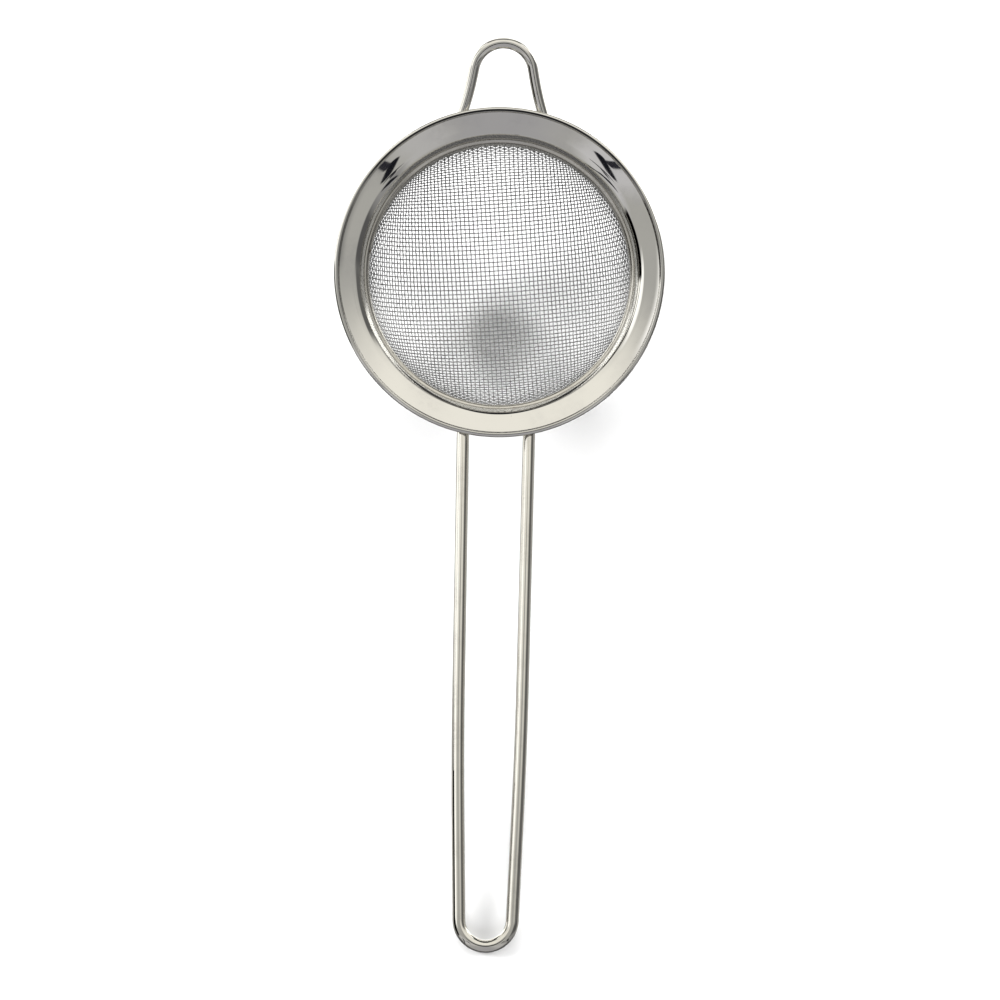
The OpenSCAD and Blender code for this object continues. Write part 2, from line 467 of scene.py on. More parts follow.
@dataclass(frozen=True)
class SteelFinish:
    """A stainless steel surface: colour, gloss, polishing lines, smudges and residue.

    Scales are per metre and line_depth is in millimetres. The colours are matched to the finished
    look under this scene's light, not measured from metal: handle_side_gain, which multiplies the
    colour where y is below gain_full and eases back to 1 where it is above gain_none, is painted
    light that makes up for light that the lamps here don't give. The painted shade along the crease
    inside the bead starts at the height crease_floor and is full at crease_full; as the sine of the
    azimuth falls from shade_side_high to shade_side_low, it thins to shade_side_share.
    """

    slot: str
    colour: tuple[float, float, float]
    dull_colour: tuple[float, float, float]
    gloss: float
    smudged_gloss: float
    smudge_scale: float = 90.0
    smudge_cover: float = 0.5
    lines_along: float = 120.0
    lines_across: float = 9000.0
    line_depth: float = 0.0004
    line_gloss: float = 0.04
    speck_share: float = 0.0
    speck_size: float = 0.2
    speck_scale: float = 400.0
    speck_colour: tuple[float, float, float] = (0.16, 0.11, 0.07)
    crease_at: float = 0.0
    crease_width: float = 0.0
    crease_shade_colour: tuple[float, float, float] = (0.03, 0.03, 0.03)
    crease_floor: float = -1.4
    crease_full: float = -1.1
    shade_side_low: float = 0.25
    shade_side_high: float = 0.75
    shade_side_share: float = 0.25
    handle_side_gain: float = 1.0
    gain_full: float = -8.0
    gain_none: float = 18.0

    def crease(self, t: Tree, place: bpy.types.NodeSocket) -> bpy.types.NodeSocket:
        """Mask of the painted shade along the crease inside the bead.

        It is 1 where the distance from the axis is near crease_at, on the upper side only, and is
        fuller on the side of the rest loop.

        Args:
            t: the material's tree.
            place: object coordinates.

        Returns:
            The mask.
        """
        parts = t.add("ShaderNodeSeparateXYZ", in_0=place).outputs
        flat = t.add("ShaderNodeCombineXYZ", in_0=parts[0], in_1=parts[1], in_2=0.0).outputs[0]
        radius = t.vector("LENGTH", flat).outputs["Value"]
        off = t.math("ABSOLUTE", t.math("SUBTRACT", radius, self.crease_at * MM))
        near = t.ramp(off, self.crease_width * 0.35 * MM, self.crease_width * 0.65 * MM, 1.0, 0.0)
        side = t.math("DIVIDE", parts[1], radius)
        full = t.ramp(side, self.shade_side_low, self.shade_side_high, self.shade_side_share, 1.0)
        above = t.ramp(parts[2], self.crease_floor * MM, self.crease_full * MM, 0.0, 1.0)
        return t.math("MULTIPLY", t.math("MULTIPLY", near, full), above)

    def material(self, effects: Effects) -> bpy.types.Material:
        """Builds the material.

        Args:
            effects: the shared node groups.

        Returns:
            A metallic material whose gloss, colour and normal vary over the surface.
        """
        made, t = fresh_material(self.slot)
        place = t.add("ShaderNodeTexCoord")
        smudge = t.add(
            "ShaderNodeGroup", node_tree=effects.smudges, in_Vector=place.outputs["Object"],
            in_Scale=self.smudge_scale, in_Cover=self.smudge_cover,
        ).outputs["Mask"]
        lines = t.add(
            "ShaderNodeGroup", node_tree=effects.lines, in_Vector=place.outputs["UV"],
            in_Along=self.lines_along, in_Across=self.lines_across,
        ).outputs["Height"]
        colour = t.mix(smudge, (*self.colour, 1.0), (*self.dull_colour, 1.0))
        gloss = t.ramp(smudge, 0.0, 1.0, self.gloss, self.smudged_gloss)
        # Painted light: the cloth's colour is raised towards the handle side, in place of light that the
        # lamps don't give.
        if self.handle_side_gain != 1.0:
            along = t.add("ShaderNodeSeparateXYZ", in_0=place.outputs["Object"]).outputs[1]
            gain = t.ramp(along, self.gain_full * MM, self.gain_none * MM, self.handle_side_gain, 1.0)
            raised = t.vector("SCALE", colour)
            t.feed(gain, raised.inputs["Scale"])
            colour = raised.outputs[0]
        if self.speck_share > 0.0:
            specks = t.add(
                "ShaderNodeGroup", node_tree=effects.specks, in_Vector=place.outputs["Object"],
                in_Scale=self.speck_scale, in_Share=self.speck_share, in_Size=self.speck_size,
            ).outputs["Mask"]
            colour = t.mix(specks, colour, (*self.speck_colour, 1.0))
            gloss = t.math("MAXIMUM", gloss, t.math("MULTIPLY", specks, 0.6))
        # Painted shade: a dark line along the crease inside the bead, fuller on the rest loop's side.
        if self.crease_width > 0.0:
            crease = self.crease(t, place.outputs["Object"])
            colour = t.mix(crease, colour, (*self.crease_shade_colour, 1.0))
        gloss = t.math("ADD", gloss, t.ramp(lines, 0.3, 0.8, 0.0, self.line_gloss))
        bump = t.add("ShaderNodeBump", in_Height=lines, in_Distance=self.line_depth * MM, in_Strength=1.0)
        shader = t.add(
            "ShaderNodeBsdfPrincipled", in_Metallic=1.0, in_Base_Color=colour, in_Roughness=gloss,
            in_Normal=bump.outputs[0],
        )
        end = t.add("ShaderNodeOutputMaterial")
        t.feed(shader.outputs[0], end.inputs[0])
        return made


# The rim's crease settings place a painted shade line along the crease inside the bead.
POLISHED_RIM = SteelFinish(
    slot="polished_rim", colour=(0.66, 0.645, 0.60), dull_colour=(0.60, 0.585, 0.55),
    gloss=0.02, smudged_gloss=0.06, line_gloss=0.015, smudge_scale=70.0, smudge_cover=0.45,
    lines_along=60.0, lines_across=5000.0, line_depth=0.0001,
    speck_share=0.02, speck_scale=260.0, speck_size=0.12, crease_at=39.14, crease_width=0.46,
)
ROLLED_HOOP = SteelFinish(
    slot="clamp_ring", colour=(0.58, 0.56, 0.51), dull_colour=(0.50, 0.48, 0.43),
    gloss=0.16, smudged_gloss=0.30, smudge_scale=160.0, smudge_cover=0.5,
    lines_along=90.0, lines_across=7000.0, line_depth=0.0004,
    speck_share=0.04, speck_scale=420.0, speck_size=0.26,
)
# The cloth's colour gain towards the handle side is painted light.
CLOTH_WIRE = SteelFinish(
    slot="wire_cloth", colour=(0.31, 0.31, 0.31), dull_colour=(0.265, 0.265, 0.265),
    gloss=0.20, smudged_gloss=0.32, smudge_scale=120.0, smudge_cover=0.5,
    lines_along=200.0, lines_across=20000.0, line_depth=0.0002, handle_side_gain=1.52,
)
HANDLE_STEEL = SteelFinish(
    slot="handle_wire", colour=(0.64, 0.62, 0.565), dull_colour=(0.57, 0.55, 0.50),
    gloss=0.05, smudged_gloss=0.12, smudge_scale=110.0, smudge_cover=0.45, line_gloss=0.02,
    lines_along=50.0, lines_across=6000.0, line_depth=0.0003,
)
LOOP_STEEL = SteelFinish(
    slot="loop_wire", colour=(0.65, 0.635, 0.59), dull_colour=(0.58, 0.565, 0.52),
    gloss=0.05, smudged_gloss=0.12, smudge_scale=130.0, smudge_cover=0.45, line_gloss=0.02,
    lines_along=50.0, lines_across=6000.0, line_depth=0.0003,
)
WELD_METAL = SteelFinish(
    slot="weld_metal", colour=(0.46, 0.43, 0.39), dull_colour=(0.30, 0.27, 0.25),
    gloss=0.28, smudged_gloss=0.5, smudge_scale=600.0, smudge_cover=0.55,
    lines_along=900.0, lines_across=1500.0, line_depth=0.02,
)


def fit_out(piece: bpy.types.Object, finish: bpy.types.Material, slot: str, *nodes: str) -> None:
    """Dresses a piece, joins it to the frame and reports it.

    Args:
        piece: the finished object.
        finish: its material.
        slot: the record's material slot; not used.
        nodes: CAD nodes that the piece stands in for.
    """
    piece.data.materials.append(finish)
    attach(piece, "root")
    if nodes:
        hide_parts(*nodes)
    LOG.info("%s: %d faces", piece.name, len(piece.data.polygons))


# --------------------------------------------------------------------------------------------
# Sheet metal
# --------------------------------------------------------------------------------------------


@dataclass
class Rim:
    """The stamped rim: rolled bead, dished flange, throat and straight collar."""

    radius: float
    collar_in: float
    bead_r: float = 0.65
    sheet_t: float = 0.5
    lip_slope: float = 24.0
    throat_slope: float = 14.0
    throat_r: float = 3.3
    collar_h: float = 4.6
    cut_rise: float = 0.1
    cut_squash: float = 0.4
    ripple: float = 0.012
    steps: int = 320

    def __post_init__(self) -> None:
        """Works out the arcs that the sheet's middle follows."""
        lip, throat = math.radians(self.lip_slope), math.radians(self.throat_slope)
        self.bead = np.array([self.radius - self.bead_r, -self.bead_r])
        self.collar_mid = self.collar_in + self.sheet_t / 2
        self.throat_mid_r = self.throat_r - self.sheet_t / 2
        end_r = self.collar_mid + self.throat_mid_r * (1 - math.sin(throat))
        self.dish_r = (self.bead[0] - end_r) / (math.sin(lip) - math.sin(throat))
        self.dish = self.bead + self.dish_r * np.array([-math.sin(lip), math.cos(lip)])
        end_z = self.dish[1] - self.dish_r * math.cos(throat)
        throat_z = end_z - self.throat_mid_r * math.cos(throat)
        self.throat = np.array([self.collar_mid + self.throat_mid_r, throat_z])
        self.collar_bottom = self.throat[1] - self.collar_h

    def face(self, offset: float, count: int) -> np.ndarray:
        """One face of the sheet from the top of the collar to the bead.

        The throat is an arc that turns from upright to the throat slope, and the dish an arc that
        turns back up to the lip slope, both moved by offset towards the upper side.

        Args:
            offset: half the sheet's thickness, positive on the upper side.
            count: points on each arc.

        Returns:
            Array of (r, z).
        """
        throat = arc(self.throat, self.throat_mid_r + offset, 180.0, 90.0 + self.throat_slope, count)
        reach = self.dish_r - offset
        bead_gap = math.sqrt(self.bead_r**2 - offset**2) / reach
        stop = -90.0 + self.lip_slope - math.degrees(bead_gap)
        dish = arc(self.dish, reach, -90.0 + self.throat_slope, stop, count)
        return np.concatenate([throat, dish[1:]])

    def profile(self) -> np.ndarray:
        """Closed outline of the rim's section: upper face, bead, lower face, collar's cut edge.

        Returns:
            Array of (r, z).
        """
        half = self.sheet_t / 2
        upper, lower = self.face(half, 40), self.face(-half, 32)
        tilt = math.degrees(math.asin(half / self.bead_r))
        bead = arc(self.bead, self.bead_r, 180.0 + self.lip_slope - tilt, self.lip_slope + tilt - 180.0, 56)
        cut_z = self.collar_bottom + self.cut_rise
        wall_z = np.linspace(cut_z, self.throat[1], 6)[:-1]
        inner = np.stack([np.full(5, self.collar_mid - half), wall_z], axis=1)
        outer = np.stack([np.full(5, self.collar_mid + half), wall_z], axis=1)
        cut = arc((self.collar_mid, cut_z), half, 0.0, -180.0, 9)
        cut[:, 1] = cut_z + (cut[:, 1] - cut_z) * self.cut_squash
        return np.concatenate([inner, upper, bead[1:-1], lower[::-1], outer[::-1], cut[1:-1]])

    def build(self, finish: bpy.types.Material) -> None:
        """Turns the rim and dresses it."""
        piece = turned("rim_polished", self.profile(), self.steps, self.ripple)
        fit_out(piece, finish, "polished_rim", "rim_flange")


@dataclass
class ClampRing:
    """The hoop inside the cloth, with a lip flared over the cloth's cut edge."""

    cloth_in: float
    cloth_out: float
    top: float
    bottom: float
    sheet_t: float = 0.5
    lip_end: float = 92.0
    foot_squash: float = 0.9
    steps: int = 288

    def profile(self) -> np.ndarray:
        """Closed outline: straight inner wall, flared lip, rounded edge, and back down outside.

        Returns:
            Array of (r, z).
        """
        inner_r = self.cloth_in - self.sheet_t
        flare = self.cloth_out - inner_r
        bend = (inner_r + flare, self.top - flare)
        foot_z = self.bottom + self.sheet_t / 2 * self.foot_squash
        wall_z = np.linspace(foot_z, bend[1], 7)[:-1]
        inner = np.stack([np.full(6, inner_r), wall_z], axis=1)
        over = arc(bend, flare, 180.0, self.lip_end, 26)
        under = arc(bend, flare - self.sheet_t, self.lip_end, 180.0, 20)
        outer = np.stack([np.full(6, self.cloth_in), wall_z[::-1]], axis=1)
        foot = arc((inner_r + self.sheet_t / 2, foot_z), self.sheet_t / 2, 0.0, -180.0, 9)
        foot[:, 1] = foot_z + (foot[:, 1] - foot_z) * self.foot_squash
        return np.concatenate([inner, over, under, outer, foot[1:-1]])

    def build(self, finish: bpy.types.Material) -> None:
        """Turns the hoop and dresses it."""
        piece = turned("clamp_hoop", self.profile(), self.steps)
        fit_out(piece, finish, "clamp_ring", "clamp_ring")


# --------------------------------------------------------------------------------------------
# Woven cloth
# --------------------------------------------------------------------------------------------


class Family(Enum):
    """The two families of wires in the cloth, and the sign of their first crossing."""

    WARP = 1
    WEFT = -1


@dataclass
class WireCloth:
    """Plain-woven wire cloth pressed into a bowl.

    Pressing shears the cloth but doesn't stretch its wires, so its crossings form a net of equal
    edges on the bowl. The net is grown from the two middle wires, one diagonal at a time: each new
    crossing lies on the bowl at one pitch from the two crossings before it.
    """

    radius: float
    centre_z: float
    top: float
    pitch: float = 1.12
    wire_d: float = 0.26
    turn: float = 5.0
    half_count: int = 54
    rings: int = 4
    sides: int = 6
    crimp: float = 0.32
    dent: float = 0.05
    dent_fade: float = 12.0

    def onto_bowl(self, p: np.ndarray) -> np.ndarray:
        """Nearest points on the bowl: a hemisphere below its centre, and a cylinder above it.

        Args:
            p: points, shape (..., 3).

        Returns:
            The points moved onto the bowl.
        """
        centre = np.array([0.0, 0.0, self.centre_z])
        ball = centre + unit(p - centre) * self.radius
        wall = np.concatenate([unit(p[..., :2]) * self.radius, p[..., 2:]], axis=-1)
        return np.where(p[..., 2:] < self.centre_z, ball, wall)

    def normal(self, p: np.ndarray) -> np.ndarray:
        """Outward unit normals of the bowl at points on it.

        Args:
            p: points, shape (..., 3).

        Returns:
            The normals, in the same shape.
        """
        d = p - np.array([0.0, 0.0, self.centre_z])
        d[..., 2] = np.minimum(d[..., 2], 0.0)
        return unit(d)

    def middle_wire(self, heading: float) -> np.ndarray:
        """Crossings along a wire that passes over the bottom of the bowl.

        At arc length s the wire is at angle s / radius up a meridian of the hemisphere, and past
        its edge it goes straight up the wall.

        Args:
            heading: direction of the wire's plane, in degrees from +X.

        Returns:
            Array of shape (2 half_count + 1, 3).
        """
        s = np.arange(-self.half_count, self.half_count + 1) * self.pitch
        quarter = math.pi / 2 * self.radius
        angle = np.minimum(np.abs(s), quarter) / self.radius
        out = np.sign(s) * self.radius * np.sin(angle)
        up = self.centre_z - self.radius * np.cos(angle) + np.maximum(np.abs(s) - quarter, 0.0)
        a = math.radians(heading)
        return np.stack([out * math.cos(a), out * math.sin(a), up], axis=1)

    def correct(self, x: np.ndarray, a: np.ndarray, b: np.ndarray) -> np.ndarray:
        """One Newton step that brings x nearer to one pitch from both a and b along the bowl.

        Args:
            x: crossings to move, shape (n, 3).
            a: their neighbours along one family.
            b: their neighbours along the other.

        Returns:
            The moved crossings.
        """
        x = self.onto_bowl(x)
        n = self.normal(x)
        to_a, to_b = x - a, x - b
        len_a, len_b = np.linalg.norm(to_a, axis=-1), np.linalg.norm(to_b, axis=-1)
        ga, gb = unit(to_a), unit(to_b)
        ga = ga - (ga * n).sum(-1, keepdims=True) * n
        gb = gb - (gb * n).sum(-1, keepdims=True) * n
        aa, bb, ab = (ga * ga).sum(-1), (gb * gb).sum(-1), (ga * gb).sum(-1)
        det = aa * bb - ab * ab
        det = np.where(np.abs(det) < 1e-3, 1e-3, det)
        ra, rb = self.pitch - len_a, self.pitch - len_b
        step = ((ra * bb - rb * ab) / det)[:, None] * ga + ((rb * aa - ra * ab) / det)[:, None] * gb
        size = np.linalg.norm(step, axis=-1, keepdims=True)
        return x + step * np.minimum(1.0, 0.5 * self.pitch / np.maximum(size, 1e-9))

    def net(self) -> np.ndarray:
        """All crossings of the cloth, one diagonal after another in each quarter.

        Returns:
            Array of shape (wires, wires, 3), indexed by warp wire and weft wire.
        """
        m = self.half_count
        nodes = np.full((2 * m + 1, 2 * m + 1, 3), np.nan)
        nodes[:, m] = self.middle_wire(self.turn)
        nodes[m, :] = self.middle_wire(self.turn + 90.0)
        for si in (1, -1):
            for sj in (1, -1):
                for k in range(2, 2 * m + 1):
                    i = np.arange(max(1, k - m), min(m, k - 1) + 1)
                    j = k - i
                    a = nodes[m + si * (i - 1), m + sj * j]
                    b = nodes[m + si * i, m + sj * (j - 1)]
                    x = a + b - nodes[m + si * (i - 1), m + sj * (j - 1)]
                    for _ in range(10):
                        x = self.correct(x, a, b)
                    nodes[m + si * i, m + sj * j] = self.onto_bowl(x)
        return nodes

    def dents(self, p: np.ndarray) -> np.ndarray:
        """Slow unevenness of the pressed cloth: products and sums of sines of x and y.

        Args:
            p: points, shape (..., 3).

        Returns:
            Distance to move each point outwards, fading out at the wall.
        """
        x, y, z = p[..., 0], p[..., 1], p[..., 2]
        wave = np.sin(0.21 * x + 0.7) * np.sin(0.17 * y + 1.9) + 0.5 * np.sin(0.33 * x - 0.27 * y + 0.3)
        return self.dent * wave * smoothstep((self.centre_z - z) / self.dent_fade)

    def strands(self, nodes: np.ndarray, family: Family, rows: slice) -> tuple[np.ndarray, np.ndarray]:
        """Skin of one bundle of neighbouring wires.

        Between crossings a wire follows the cubic through its crossings. Its middle is lifted off
        the bowl by wire_d times crimp times cos(pi t), t counting crossings, so it goes over and
        under in turn, and each ring of its skin is a regular polygon square to the lifted path.

        Args:
            nodes: crossings, indexed by wire and then along it.
            family: warp or weft, which sets where the wire starts, over or under.
            rows: the wires in this bundle.

        Returns:
            Rings of shape (wires, samples, sides, 3) and a mask of the rings on the cloth.
        """
        before, here, after, beyond = nodes[:, :-3], nodes[:, 1:-2], nodes[:, 2:-1], nodes[:, 3:]
        t = (np.arange(self.rings) / self.rings)[None, None, :, None]
        m0, m1 = (after - before) / 2, (beyond - here) / 2
        cubic = (
            (2 * t**3 - 3 * t**2 + 1) * here[:, :, None] + (t**3 - 2 * t**2 + t) * m0[:, :, None]
            + (3 * t**2 - 2 * t**3) * after[:, :, None] + (t**3 - t**2) * m1[:, :, None]
        )
        wires, spans = here.shape[:2]
        n = self.normal(cubic)
        parity = (-1.0) ** (np.arange(wires)[:, None] + np.arange(spans)[None, :])
        lift = family.value * parity[:, :, None] * np.cos(np.pi * t[..., 0]) * self.wire_d * self.crimp
        middle = cubic + n * (lift + self.dents(cubic))[..., None]
        middle = middle.reshape(wires, -1, 3)[rows]
        n = n.reshape(wires, -1, 3)[rows]
        tangent = unit(np.gradient(middle, axis=1))
        side = unit(np.cross(n, tangent))
        up = np.cross(tangent, side)
        b = np.linspace(0.0, 2.0 * np.pi, self.sides, endpoint=False) + np.pi / self.sides
        ring = side[:, :, None] * np.cos(b)[:, None] + up[:, :, None] * np.sin(b)[:, None]
        skin = middle[:, :, None] + ring * self.wire_d / 2
        on_cloth = cubic.reshape(wires, -1, 3)[rows][..., 2] < self.top
        return skin, on_cloth & np.isfinite(skin).all(axis=(2, 3))

    def bundle(self, name: str, nodes: np.ndarray, family: Family, rows: slice) -> bpy.types.Object:
        """Makes one piece from a bundle of wires, closed at every wire's end.

        Args:
            name: the piece's name.
            nodes: crossings, indexed by wire and then along it.
            family: warp or weft.
            rows: the wires in this bundle.

        Returns:
            The piece.
        """
        skin, kept = self.strands(nodes, family, rows)
        index = np.cumsum(kept.ravel()).reshape(kept.shape) - 1
        joined = kept[:, :-1] & kept[:, 1:]
        low, high = index[:, :-1][joined], index[:, 1:][joined]
        s = np.arange(self.sides)
        nxt = (s + 1) % self.sides
        quads = np.stack(
            [
                low[:, None] * self.sides + s, low[:, None] * self.sides + nxt,
                high[:, None] * self.sides + nxt, high[:, None] * self.sides + s,
            ],
            axis=-1,
        ).reshape(-1, 4)
        alone = np.zeros(kept.shape, dtype=bool)
        starts = kept & ~np.concatenate([alone[:, :1], kept[:, :-1]], axis=1)
        ends = kept & ~np.concatenate([kept[:, 1:], alone[:, :1]], axis=1)
        caps = (index[starts][:, None] * self.sides + s[::-1]).tolist()
        caps += (index[ends][:, None] * self.sides + s).tolist()
        along = np.broadcast_to(np.arange(kept.shape[1]) * self.pitch / self.rings, kept.shape)[kept]
        around = np.pi * self.wire_d * np.arange(self.sides + 1) / self.sides
        corner = np.array([[0, 0], [0, 1], [1, 1], [1, 0]])
        ring_of = np.stack([low, high], axis=1)
        u = along[ring_of[:, corner[:, 0]]][:, None, :].repeat(self.sides, axis=1)
        v = around[s[:, None] + corner[None, :, 1]][None].repeat(len(low), axis=0)
        uv = np.stack([u, v], axis=-1).reshape(-1, 4, 2)
        return new_piece(name, skin[kept].reshape(-1, 3), quads, uv, caps)

    def build(self, finish: bpy.types.Material) -> None:
        """Weaves the cloth as two bundles of warp and two of weft, and dresses them.

        Args:
            finish: the wire's material.
        """
        nodes = self.net()
        middle = nodes.shape[0] // 2
        weft = nodes.transpose(1, 0, 2)
        for name, grid, family, rows in (
            ("cloth_warp_left", nodes, Family.WARP, slice(0, middle)),
            ("cloth_warp_right", nodes, Family.WARP, slice(middle, None)),
            ("cloth_weft_near", weft, Family.WEFT, slice(0, middle)),
            ("cloth_weft_far", weft, Family.WEFT, slice(middle, None)),
        ):
            fit_out(self.bundle(name, grid, family, rows), finish, "wire_cloth", "mesh_bowl")


# --------------------------------------------------------------------------------------------
# Wires and welds
# --------------------------------------------------------------------------------------------


@dataclass
class BentWire:
    """A wire bent in one plane that leans up from a pivot below the bead."""

    pivot: np.ndarray
    rise: float
    wire_r: float
    outward: float

    def place(self, flat: np.ndarray) -> np.ndarray:
        """Carries points of the wire's plane into the frame, turned up by the rise at the pivot.

        Args:
            flat: points (x, distance outwards, height over the plane), shape (..., 3).

        Returns:
            The points in the frame.
        """
        a = math.radians(self.rise)
        y = self.outward * flat[..., 1]
        return self.pivot + np.stack(
            [
                flat[..., 0],
                y * math.cos(a) - self.outward * flat[..., 2] * math.sin(a),
                flat[..., 1] * math.sin(a) + flat[..., 2] * math.cos(a),
            ],
            axis=-1,
        )

    def plane_normal(self) -> np.ndarray:
        """Unit normal of the wire's plane, on its upper side."""
        a = math.radians(self.rise)
        return np.array([0.0, -self.outward * math.sin(a), math.cos(a)])


@dataclass
class Handle(BentWire):
    """The long U of the handle: two legs, slightly leaning, and a round end bend."""

    reach: float = 0.0
    end_bend_r: float = 6.2
    lean_end: float = 1.8
    end_l: float = 40.0
    lean: float = 0.4
    root_u: float = 6.9
    blend_l: float = 44.0

    def path(self) -> np.ndarray:
        """Middle of the wire from foot to foot.

        A leg's lean eases from the end value to the root value over blend_l, and the leg is the
        running sum of its direction; the other leg is its mirror image, and the bend between them
        is a circle tangent to both.

        Returns:
            Array of shape (n, 3).
        """
        bend_u = self.reach - self.end_bend_r
        tip = math.radians(self.lean_end)
        start = np.array([self.end_bend_r * math.cos(tip), bend_u + self.end_bend_r * math.sin(tip)])
        step = 0.5
        s = np.arange(0.0, start[1] + self.root_u, step)
        ease = smoothstep((s - self.end_l + self.blend_l / 2) / self.blend_l)
        lean = np.radians(self.lean_end + (self.lean - self.lean_end) * ease)
        leg = start + np.stack([np.cumsum(np.sin(lean)), -np.cumsum(np.cos(lean))], axis=1) * step
        leg = leg[leg[:, 1] > -self.root_u][::4]
        bend = arc((0.0, bend_u), self.end_bend_r, self.lean_end, 180.0 - self.lean_end, 49)
        other = leg * np.array([-1.0, 1.0])
        flat = np.concatenate([leg[::-1], bend, other])
        return self.place(np.column_stack([flat, np.zeros(len(flat))]))

    def build(self, finish: bpy.types.Material) -> None:
        """Bends the handle and dresses it."""
        piece = swept("handle_bent_wire", self.path(), self.plane_normal(), self.wire_r, 32)
        fit_out(piece, finish, "handle_wire", "handle_wire")


@dataclass
class RestLoop(BentWire):
    """The small arch opposite the handle."""

    reach: float = 0.0
    arch_r: float = 7.2
    splay_arch: float = 10.5
    splay_foot: float = 23.0
    foot_x: float = 12.54
    root_v: float = 7.6
    leg_steps: int = 40

    def path(self) -> np.ndarray:
        """Middle of the wire from foot to foot.

        A leg's splay eases from splay_arch to splay_foot on its way from the arch to the foot, and
        the leg is the running sum of its direction, widened a little so that it ends at foot_x.

        Returns:
            Array of shape (n, 3).
        """
        arch_v = self.reach - self.arch_r
        a = math.radians(self.splay_arch)
        start = np.array([self.arch_r * math.cos(a), arch_v + self.arch_r * math.sin(a)])
        drop = start[1] + self.root_v
        down = np.linspace(0.0, drop, self.leg_steps + 1)[1:]
        splay = np.radians(self.splay_arch + (self.splay_foot - self.splay_arch) * smoothstep(down / drop))
        out = np.cumsum(np.tan(splay)) * drop / self.leg_steps
        out = out + (self.foot_x - start[0] - out[-1]) * smoothstep(down / drop)
        leg = start + np.stack([out, -down], axis=1)
        arch = arc((0.0, arch_v), self.arch_r, self.splay_arch, 180.0 - self.splay_arch, 49)
        flat = np.concatenate([leg[::-1], arch, leg * np.array([-1.0, 1.0])])
        return self.place(np.column_stack([flat, np.zeros(len(flat))]))

    def build(self, finish: bpy.types.Material) -> None:
        """Bends the loop and dresses it."""
        piece = swept("rest_loop_bent_wire", self.path(), self.plane_normal(), self.wire_r, 32)
        fit_out(piece, finish, "loop_wire", "rest_loop")


@dataclass
class Welds:
    """Weld metal at the two feet of a wire, kept within the thickness of the rim's sheet."""

    name: str
    node: str
    foot: np.ndarray
    rim: Rim
    size: float = 1.95
    ripple: float = 0.07
    pole: float = 0.02
    texture_h: float = 6.0
    texture_w: float = 4.0
    rows: int = 24
    cols: int = 32

    def blob(self, side: int) -> tuple[np.ndarray, np.ndarray, np.ndarray]:
        """One spot: a ball with small ripples, pushed out of the collar and of the throat.

        A point nearer the axis than the middle of the collar moves out to it, and a point past
        the middle of the throat's sheet moves back to it, so the metal never shows from above.

        Args:
            side: 1 for the foot on the +X side, -1 for the other.

        Returns:
            Vertices, quads and texture corners.
        """
        rows, cols = self.rows, self.cols
        lat = np.linspace(self.pole, np.pi - self.pole, rows)[:, None]
        lon = np.linspace(0.0, 2 * np.pi, cols, endpoint=False)[None, :]
        wave = np.sin(9 * lat + side) * np.cos(5 * lon) * np.sin(lat)
        radius = self.size * (1.0 + self.ripple * wave)
        ball = np.stack(
            np.broadcast_arrays(
                radius * np.sin(lat) * np.cos(lon),
                radius * np.sin(lat) * np.sin(lon),
                radius * np.cos(lat),
            ),
            axis=-1,
        )
        p = self.foot * np.array([side, 1.0, 1.0]) + ball.reshape(-1, 3)
        r = np.linalg.norm(p[:, :2], axis=1)
        angle = np.arctan2(p[:, 1], p[:, 0])
        section = np.stack([np.maximum(r, self.rim.collar_mid), p[:, 2]], axis=1)
        away = section - self.rim.throat
        gap = np.linalg.norm(away, axis=1)
        above = (section[:, 1] > self.rim.throat[1]) & (gap > self.rim.throat_mid_r)
        held = self.rim.throat + away * (self.rim.throat_mid_r / np.maximum(gap, 1e-9))[:, None]
        section = np.where(above[:, None], held, section)
        out = section[:, 0]
        p = np.column_stack([out * np.cos(angle), out * np.sin(angle), section[:, 1]])
        quads, corners = grid_quads(rows, cols, False, True)
        down = np.linspace(0.0, self.texture_h, rows + 1)
        across = np.linspace(0.0, self.texture_w, cols + 1)
        return p, quads, pairs(down, across)[corners]

    def build(self, finish: bpy.types.Material) -> None:
        """Makes both spots as one piece and dresses it.

        Args:
            finish: the weld metal's material.
        """
        points, quads, uv, caps, base = [], [], [], [], 0
        for side in (1, -1):
            p, q, corners = self.blob(side)
            points.append(p)
            quads.append(q + base)
            uv.append(corners)
            end = base + len(p)
            caps += [list(range(base, base + self.cols))[::-1], list(range(end - self.cols, end))]
            base = end
        skin = (np.concatenate(part) for part in (points, quads, uv))
        piece = new_piece(self.name, *skin, caps)
        fit_out(piece, finish, "weld_metal", self.node)


# --------------------------------------------------------------------------------------------
# The strainer
# --------------------------------------------------------------------------------------------


